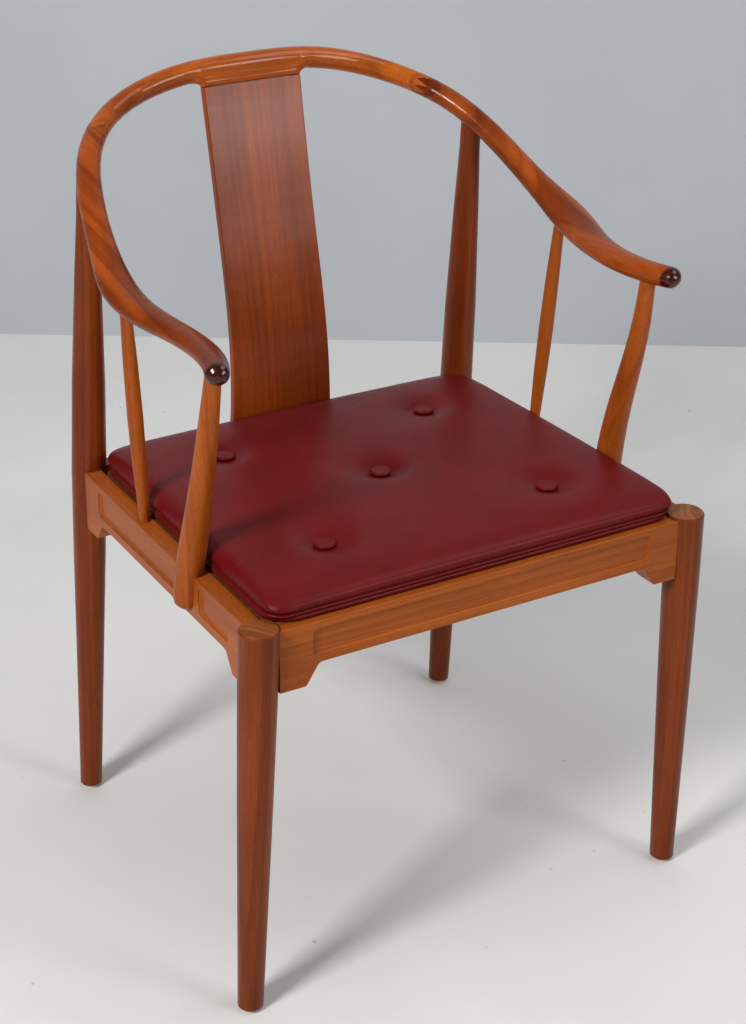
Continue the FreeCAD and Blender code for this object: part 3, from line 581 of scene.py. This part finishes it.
# The pad's rings, from the lowest up: inset, height, and the corners' radius at the front and back.
pad_rings = [(0.0075, 0.0012, 0.040, 0.030), (0.0040, 0.0028, 0.030, 0.029), (0.0036, 0.0086, 0.019, 0.027),
             (0.0016, 0.0108, 0.017, 0.027), (-0.0010, 0.0140, 0.018, 0.029), (-0.0006, 0.0200, 0.020, 0.030),
             (0.0030, 0.0270, 0.022, 0.030), (0.0095, 0.0330, 0.022, 0.028), (0.0210, 0.0375, 0.020, 0.025),
             (0.0400, 0.0400, 0.018, 0.022)]

# The crown's line from the front to the back: place and height.
crown_places = [(-0.260, 0.0125), (-0.243, 0.0205), (-0.232, 0.0248), (-0.215, 0.0288), (-0.190, 0.0312),
                (-0.150, 0.0326), (-0.080, 0.0337), (0.020, 0.0336), (0.100, 0.0316), (0.141, 0.0278),
                (0.159, 0.0232), (0.174, 0.0160)]
crown_side_drop = 0.0022
crown_softness = 0.005
crown_hold = 3

# The buttons' places on the seat, and the height of the floor that each lies on.
button_places = [(-0.129, -0.156, 0.0232), (0.129, -0.156, 0.0232), (0.0, -0.043, 0.0240),
                 (-0.1216, 0.069, 0.0250), (0.1216, 0.069, 0.0250)]
tuft_radius = 0.050
tuft_floor_radius = 0.0112
tuft_power = 3
tuft_flare = 0.9
pad_voxel = 0.0044
pad_seam_z = 0.0100
pad_puff = 0.0018
held_share = 1.25
puff_frames = 20
cloth_settings = {"quality": 6, "mass": 0.4, "tension_stiffness": 30, "compression_stiffness": 30,
                  "shear_stiffness": 20, "bending_stiffness": 12, "use_pressure": True,
                  "uniform_pressure_force": 3.0}
softening = 0.5
softening_rounds = 3

leather_tones = ((103, 13, 17), (96, 11, 14))
leather_gloss = (0.38, 0.46)
leather_specular = 0.16
mottle_scale = 22.0
mottle_detail = 5.0
mottle_band = (0.35, 0.65)
pebble_scale = 900.0
pebble_band = (0.35, 0.75)
pebble_depth = 0.25
pebble_shade = 0.8
crease_scale = 300.0
crease_detail = 6.0
crease_band = (0.3, 0.7)
leather_relief = 0.22
leather_relief_depth = 0.0003
leather_relief_share = 0.6


def seat_place(point):
    """A place on the level drawing of the cushion, laid on the leaning seat."""
    x, y, z = point
    forward = y - seat_front_y
    z += pad_lift
    return Vector((x, seat_front_y + forward * math.cos(seat_lean) + z * math.sin(seat_lean),
                   seat_front_z - forward * math.sin(seat_lean) + z * math.cos(seat_lean)))


def pad_outline(inset, front_radius, back_radius):
    """Points round the pad's plan, drawn in by an inset: as many on each side and corner for every ring."""
    slope = (pad_half_front - pad_half_back) / (pad_back_y - pad_front_y)
    corners = []
    for y, radius in ((pad_front_y + inset, front_radius), (pad_back_y - inset, back_radius)):
        half = pad_half_front - (y - pad_front_y) * slope - inset
        corners += [(half, y, radius), (-half, y, radius)]
    corners = [corners[0], corners[2], corners[3], corners[1]]
    points = []
    for index, (x, y, radius) in enumerate(corners):
        here = Vector((x, y))
        before = (Vector(corners[index - 1][:2]) - here).normalized()
        after = (Vector(corners[(index + 1) % 4][:2]) - here).normalized()
        half_angle = before.angle(after) / 2
        centre = here + (before + after).normalized() * (radius / math.sin(half_angle))
        first = here + before * (radius / math.tan(half_angle))
        sweep = math.pi - 2 * half_angle
        turn = 1 if before.cross(after) < 0 else -1
        for step in range(corner_points + 1):
            angle = sweep * step / corner_points * turn
            points.append(centre + Matrix.Rotation(angle, 2) @ (first - centre))
        following = corners[(index + 1) % 4]
        there = Vector(following[:2])
        reach = (here - there).normalized()
        beyond = (Vector(corners[(index + 2) % 4][:2]) - there).normalized()
        last = there + reach * (following[2] / math.tan(reach.angle(beyond) / 2))
        begin = points[-1].copy()
        points += [begin.lerp(last, step / side_points) for step in range(1, side_points)]
    return points


def crown_height(x, y):
    """Height of the crowned top over a place, before the buttons draw it down."""
    places = np.array(crown_places)
    height = np.interp(y, places[:, 0], places[:, 1])
    return height - crown_side_drop * (x / pad_half_front) ** 2


def drawn_down(x, y):
    """How far the buttons draw the top down at a place: a soft slope down to a flat floor."""
    drop = np.zeros_like(x)
    for button_x, button_y, floor in button_places:
        depth = crown_height(np.array(button_x), np.array(button_y)) - floor
        share = faded(tuft_radius - np.hypot(x - button_x, y - button_y), tuft_radius - tuft_floor_radius)
        drop = np.maximum(drop, depth * share ** tuft_power * (1 + tuft_flare * (1 - share)))
    return drop


def ring_solid(name, rings):
    """A closed mesh through the pad's rings, from the lowest up."""
    form = bmesh.new()
    loops = []
    for inset, height, front_radius, back_radius in rings:
        outline = pad_outline(inset, front_radius, back_radius)
        loops.append([form.verts.new((point.x, point.y, height)) for point in outline])
    for below, above in zip(loops, loops[1:]):
        for index in range(len(below)):
            following = (index + 1) % len(below)
            form.faces.new((below[index], below[following], above[following], above[index]))
    form.faces.new(loops[0][::-1])
    form.faces.new(loops[-1])
    bmesh.ops.recalc_face_normals(form, faces=form.faces)
    return mesh_piece(name, form)


def puffed(piece):
    """Lets pressure puff a piece out a little between its seam and its buttons."""
    rest = read_points(piece.data)
    near_button = np.min([np.hypot(rest[:, 0] - x, rest[:, 1] - y) for x, y, floor in button_places], axis=0)
    fixed = (rest[:, 2] < pad_seam_z) | (near_button < tuft_floor_radius * held_share)
    held = piece.vertex_groups.new(name="held")
    held.add([int(index) for index in np.nonzero(fixed)[0]], 1.0, "REPLACE")
    cloth = piece.modifiers.new("puff", "CLOTH")
    for setting, value in cloth_settings.items():
        setattr(cloth.settings, setting, value)
    cloth.settings.vertex_group_mass = "held"
    cloth.settings.effector_weights.gravity = 0
    cloth.collision_settings.use_collision = False
    for step in range(1, puff_frames + 1):
        bpy.context.scene.frame_set(step)
    apply_modifiers(piece)
    bpy.context.scene.frame_set(1)
    moved = read_points(piece.data) - rest
    length = np.linalg.norm(moved, axis=1, keepdims=True)
    write_points(piece.data, rest + moved * pad_puff / (pad_puff + length))
    piece.vertex_groups.clear()


def wine_leather():
    """Smooth aniline leather: a fine pebble grain, slight mottling and a satin gloss."""
    material, tree, shader, place = new_material("wine_leather")
    light, dark = leather_tones
    mottle = noise(tree, place, mottle_scale, mottle_detail)
    crease = noise(tree, place, crease_scale, crease_detail)
    cells = tree.nodes.new("ShaderNodeTexVoronoi")
    set_inputs(cells, Scale=pebble_scale)
    link(tree, place, cells.inputs["Vector"])
    pebble = cells.outputs["Distance"]
    tone = blended(tree, spread(tree, mottle, *mottle_band), paint(*light), paint(*dark))
    between = spread(tree, pebble, *pebble_band, 0.0, pebble_depth)
    tone = blended(tree, between, tone, shade(dark, pebble_shade))
    rough = spread(tree, crease, *crease_band, *leather_gloss)
    link(tree, tone, shader.inputs["Base Color"], rough, shader.inputs["Roughness"])
    set_inputs(shader, Specular_IOR_Level=leather_specular)
    height = arithmetic(tree, "SUBTRACT", arithmetic(tree, "MULTIPLY", crease, leather_relief_share),
                        arithmetic(tree, "MULTIPLY", pebble, leather_relief_share))
    bumped(tree, shader, height, leather_relief, leather_relief_depth)
    return material


pad = ring_solid("cushion_pad", pad_rings)
even_squares(pad, pad_voxel)
points = read_points(pad.data)
crown = crown_height(points[:, 0], points[:, 1])
over_crown = crown_softness * np.logaddexp(0, (points[:, 2] - crown) / crown_softness)
above_seam = faded(points[:, 2] - pad_seam_z, crown - pad_seam_z)
points[:, 2] -= over_crown * np.clip(above_seam * crown_hold, 0, 1)
points[:, 2] -= drawn_down(points[:, 0], points[:, 1]) * above_seam
write_points(pad.data, points)
puffed(pad)

softened = pad.modifiers.new("softened", "SMOOTH")
softened.factor = softening
softened.iterations = softening_rounds
smoother = pad.modifiers.new("smoother", "SUBSURF")
smoother.levels = smoother.render_levels = 1
apply_modifiers(pad)
write_points(pad.data, np.array([seat_place(point) for point in read_points(pad.data)]))
pad.data.shade_smooth()

leather = wine_leather()
clothe(pad, leather)
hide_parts("cushion_cover", "cushion_core")
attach(pad, "cushion")


# The cushion's edge
#
# Under the top panel's seam runs a narrow roll of leather, and under that a wider one, where the
# bottom panel is turned up. Both follow the pad's plan.

upper_roll = {"radius": 0.0017, "inset": 0.0025, "height": 0.0076, "front": 0.019, "back": 0.027}
lower_roll = {"radius": 0.0030, "inset": 0.0037, "height": 0.0031, "front": 0.027, "back": 0.029}
roll_sides = 14


def group_tree(name, **inputs):
    """An empty node tree with a geometry input and output and the named inputs of the given kinds."""
    tree = bpy.data.node_groups.new(name, "GeometryNodeTree")
    tree.interface.new_socket("Geometry", in_out="INPUT", socket_type="NodeSocketGeometry")
    for label, kind in inputs.items():
        tree.interface.new_socket(label, in_out="INPUT", socket_type="NodeSocket" + kind)
    tree.interface.new_socket("Geometry", in_out="OUTPUT", socket_type="NodeSocketGeometry")
    return tree, tree.nodes.new("NodeGroupInput").outputs, tree.nodes.new("NodeGroupOutput").inputs


def add_nodes(tree, *kinds):
    """New nodes of a geometry tree."""
    return [tree.nodes.new("GeometryNode" + kind) for kind in kinds]


def grow(piece, tree, **inputs):
    """Runs a node tree on a piece, with its inputs set by name, and keeps the plain mesh that it makes."""
    modifier = piece.modifiers.new(tree.name, "NODES")
    modifier.node_group = tree
    for item in tree.interface.items_tree:
        if item.item_type == "SOCKET" and item.in_out == "INPUT" and item.name in inputs:
            modifier[item.identifier] = inputs[item.name]
    mesh = evaluated_mesh(piece)
    name = piece.name
    bpy.data.objects.remove(piece)
    return new_piece(name, mesh)


def rolled_edge_tree():
    """A round roll of leather along a curve."""
    tree, given, result = group_tree("rolled_edge", Radius="Float", Sides="Int", Material="Material")
    section, sweep, smooth, real, coat = add_nodes(
        tree, "CurvePrimitiveCircle", "CurveToMesh", "SetShadeSmooth", "RealizeInstances", "SetMaterial")
    link(tree, given["Radius"], section.inputs["Radius"], given["Sides"], section.inputs["Resolution"])
    link(tree, given["Geometry"], sweep.inputs["Curve"])
    link(tree, section.outputs["Curve"], sweep.inputs["Profile Curve"])
    link(tree, sweep.outputs["Mesh"], smooth.inputs["Geometry"])
    link(tree, smooth.outputs["Geometry"], real.inputs["Geometry"])
    link(tree, real.outputs["Geometry"], coat.inputs["Geometry"], given["Material"], coat.inputs["Material"])
    link(tree, coat.outputs["Geometry"], result["Geometry"])
    return tree


def outline_curve(name, inset, height, front, back):
    """A closed line round the pad on the leaning seat."""
    line = bpy.data.curves.new(name, "CURVE")
    line.dimensions = "3D"
    places = [seat_place((point.x, point.y, height)) for point in pad_outline(inset, front, back)]
    spline = line.splines.new("POLY")
    spline.points.add(len(places) - 1)
    for point, place in zip(spline.points, places):
        point.co = (*place, 1.0)
    spline.use_cyclic_u = True
    return new_piece(name, line)


edge_tree = rolled_edge_tree()
for name, roll in (("cushion_upper_roll", upper_roll), ("cushion_lower_roll", lower_roll)):
    curve = outline_curve(name, roll["inset"], roll["height"], roll["front"], roll["back"])
    edge = grow(curve, edge_tree, Radius=roll["radius"], Sides=roll_sides, Material=leather)
    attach(edge, "cushion")


# Buttons
#
# Five buttons covered in the same leather, each drawn down by a twine that goes through the foam to
# a flat one underneath. Their tops are flat, with the leather rolled over the rim.

button_radius = 0.0108
button_height = 0.0040
button_sides = 48

# The button's profile, from its bottom to its top: shares of its radius and of its height.
button_profile_shares = [(0.0, 0.0), (0.86, 0.0), (0.97, 0.16), (1.0, 0.42), (0.985, 0.70), (0.93, 0.90),
                         (0.85, 0.97), (0.74, 0.93), (0.45, 0.90), (0.0, 0.92)]


def button_tree():
    """A button on each point of a mesh, leaning as the point's own attribute says."""
    tree, given, result = group_tree("buttons", Button="Object", Material="Material")
    source, smooth, put, lean, real, coat = add_nodes(
        tree, "ObjectInfo", "SetShadeSmooth", "InstanceOnPoints", "InputNamedAttribute", "RealizeInstances",
        "SetMaterial")
    lean.data_type = "FLOAT_VECTOR"
    set_inputs(lean, Name="lean")
    turn = tree.nodes.new("FunctionNodeAlignEulerToVector")
    turn.axis = "Z"
    link(tree, given["Button"], source.inputs["Object"])
    link(tree, source.outputs["Geometry"], smooth.inputs["Geometry"])
    link(tree, given["Geometry"], put.inputs["Points"], smooth.outputs["Geometry"], put.inputs["Instance"])
    link(tree, lean.outputs["Attribute"], turn.inputs["Vector"])
    link(tree, turn.outputs["Rotation"], put.inputs["Rotation"])
    link(tree, put.outputs["Instances"], real.inputs["Geometry"])
    link(tree, real.outputs["Geometry"], coat.inputs["Geometry"], given["Material"], coat.inputs["Material"])
    link(tree, coat.outputs["Geometry"], result["Geometry"])
    return tree


def covered_button():
    """One button, lathed from its profile, standing on z = 0."""
    form = bmesh.new()
    rings = []
    for share, rise in button_profile_shares:
        sides = button_sides if share else 1
        angles = [2 * math.pi * step / sides for step in range(sides)]
        rings.append([form.verts.new((share * button_radius * math.cos(angle),
                                      share * button_radius * math.sin(angle),
                                      rise * button_height)) for angle in angles])
    for below, above in zip(rings, rings[1:]):
        for step in range(button_sides):
            following = (step + 1) % button_sides
            corners = [below[step % len(below)], below[following % len(below)], above[following % len(above)],
                       above[step % len(above)]]
            form.faces.new(list(dict.fromkeys(corners)))
    bmesh.ops.recalc_face_normals(form, faces=form.faces)
    return mesh_piece("covered_button", form)


def button_lean(x, y):
    """Which way a button at a place faces, by the crown's slope there, on the level drawing."""
    before, behind = [crown_height(np.array(x), np.array(y + step)) for step in (-tuft_radius, tuft_radius)]
    slope = math.atan2(float(behind - before), 2 * tuft_radius) - seat_lean
    return (0.0, -math.sin(slope), math.cos(slope))


one_button = covered_button()
button_points = bpy.data.meshes.new("button_points")
button_points.from_pydata([seat_place(place) for place in button_places], [], [])
leans = button_points.attributes.new("lean", "FLOAT_VECTOR", "POINT")
for point, (x, y, floor) in zip(leans.data, button_places):
    point.vector = button_lean(x, y)
button_spots = new_piece("cushion_button_caps", button_points)
buttons = grow(button_spots, button_tree(), Button=one_button, Material=leather)
bpy.data.objects.remove(one_button)
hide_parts("cushion_buttons")
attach(buttons, "cushion")


# Twine and under buttons
#
# Waxed cotton twine goes from each button through the foam to a disc covered in cotton cloth. Both
# are out of sight until the cushion is lifted.

cotton_tones = ((190, 172, 140), (150, 130, 98))
cotton_gloss = 0.9
weave_scale = 260.0
weave_bend = 1.5


def cotton():
    """Woven cotton, as fine ribs."""
    material, tree, shader, place = new_material("cotton")
    weave = tree.nodes.new("ShaderNodeTexWave")
    set_inputs(weave, Scale=weave_scale, Distortion=weave_bend)
    link(tree, place, weave.inputs["Vector"],
         blended(tree, weave.outputs["Fac"], paint(*cotton_tones[0]), paint(*cotton_tones[1])),
         shader.inputs["Base Color"])
    set_inputs(shader, Roughness=cotton_gloss)
    return material


finish(cotton(), "cushion_under_buttons", "cushion_twine")


# The room
#
# A pale, slightly dirty floor that ends at a grey wall, a soft light high on the left of the chair,
# two weaker ones on its right, a wide one overhead, and the camera where the photograph was taken.
# The wall is clear from behind, so that the chair shows from every side.

wall_line = [(0.172, 1.508), (1.273, 0.857)]
wall_tones = ((184, 188, 193), (180, 184, 189))
wall_height = 3.0
floor_tones = ((228, 227, 225), (221, 221, 219))
room_reach = 7.0
paint_gloss = 0.62
paint_scale = 2.2
paint_detail = 6.0
paint_band = (0.35, 0.65)
speck_colour = (150, 144, 136)
speck_scale = 24.0
speck_band = (0.03, 0.09)
speck_depth = 0.55
patch_scale = 55.0
patch_detail = 5.0
patch_band = (0.52, 0.62)
room_light = (150, 152, 156)
room_brightness = 0.38
camera_place = Vector((-1.0154, -1.7187, 1.4155))
camera_target = Vector((0.0251, 0.0125, 0.3723))
camera_roll = math.radians(1.16)
focal_pixels = 2130.7
photo_height = 1024
sensor = 36.0


def painted(name, tones, specks=None, one_sided=False):
    """Dull paint, faintly clouded, with specks of dirt or without. One sided paint is clear from behind."""
    material, tree, shader, place = new_material(name)
    cloud = spread(tree, noise(tree, place, paint_scale, paint_detail), *paint_band)
    tone = blended(tree, cloud, paint(*tones[0]), paint(*tones[1]))
    if specks:
        dirt = tree.nodes.new("ShaderNodeTexVoronoi")
        set_inputs(dirt, Scale=speck_scale)
        link(tree, place, dirt.inputs["Vector"])
        near_speck = spread(tree, dirt.outputs["Distance"], *speck_band, 1.0, 0.0)
        patch = spread(tree, noise(tree, place, patch_scale, patch_detail), *patch_band)
        speck = arithmetic(tree, "MULTIPLY", near_speck, patch)
        tone = blended(tree, arithmetic(tree, "MULTIPLY", speck, speck_depth), tone, paint(*specks))
    link(tree, tone, shader.inputs["Base Color"])
    set_inputs(shader, Roughness=paint_gloss)
    if one_sided:
        behind = tree.nodes.new("ShaderNodeNewGeometry").outputs["Backfacing"]
        clear = tree.nodes.new("ShaderNodeBsdfTransparent")
        sides = tree.nodes.new("ShaderNodeMixShader")
        link(tree, behind, sides.inputs[0], shader.outputs[0], sides.inputs[1], clear.outputs[0],
             sides.inputs[2], sides.outputs[0], tree.nodes["Material Output"].inputs["Surface"])
    return material


def backdrop(name, rise, material):
    """A wide flat piece of the room that rises or runs out from the wall's foot."""
    mesh = bpy.data.meshes.new(name)
    left, right = wall_foot - along_wall * room_reach, wall_foot + along_wall * room_reach
    mesh.from_pydata([left, right, right + rise, left + rise], [], [(0, 1, 2, 3)])
    mesh.materials.append(material)
    piece = new_piece(name, mesh)


def soft_light(name, place, target, size, watts, colour=(1.0, 1.0, 1.0), mirrored=True):
    """A square area light aimed at a place, which glossy pieces mirror or not."""
    lamp = bpy.data.lights.new(name, "AREA")
    lamp.energy = watts
    lamp.size = size
    lamp.color = colour
    holder = new_piece(name, lamp)
    holder.location = place
    holder.rotation_euler = (Vector(target) - Vector(place)).to_track_quat("-Z", "Y").to_euler()
    holder.visible_glossy = mirrored


wall_foot, wall_end = [Vector((x, y, 0.0)) for x, y in wall_line]
along_wall = (wall_end - wall_foot).normalized()
into_room = Vector((along_wall.y, -along_wall.x, 0.0))
backdrop("floor", into_room * room_reach, painted("floor_paint", floor_tones, speck_colour))
backdrop("wall", Vector((0, 0, wall_height)), painted("wall_paint", wall_tones, one_sided=True))

world = bpy.data.worlds.new("room")
bpy.context.scene.world = world
world.use_nodes = True
set_inputs(world.node_tree.nodes["Background"], Color=paint(*room_light), Strength=room_brightness)

soft_light("key", place=(-2.44, -0.95, 2.3), target=(0.0, 0.0, 0.4), size=0.65, watts=82.0,
           colour=(1.0, 0.985, 0.96))
soft_light("fill", place=(1.35, -2.5, 1.45), target=(0.0, 0.0, 0.6), size=0.9, watts=22.0)
soft_light("high_right", place=(1.15, -0.65, 2.3), target=(0.0, 0.0, 0.5), size=1.0, watts=9.0)
soft_light("overhead", place=(0.2, -0.1, 2.9), target=(0.0, 0.0, 0.4), size=2.2, watts=19.0, mirrored=False)

lens = bpy.data.cameras.new("photograph")
lens.sensor_fit = "VERTICAL"
lens.sensor_height = sensor
lens.lens = focal_pixels / photo_height * sensor
ahead = (camera_target - camera_place).normalized()
right = ahead.cross(Vector((0, 0, 1))).normalized()
level = Matrix((right, right.cross(ahead), -ahead)).transposed()
rolled = level @ Matrix.Rotation(camera_roll, 3, "Z")
camera = new_piece("photograph", lens)
camera.matrix_world = Matrix.Translation(camera_place) @ rolled.to_4x4()
bpy.context.scene.camera = camera
bpy.context.scene.view_settings.view_transform = "Standard"
bpy.context.scene.view_settings.look = "None"
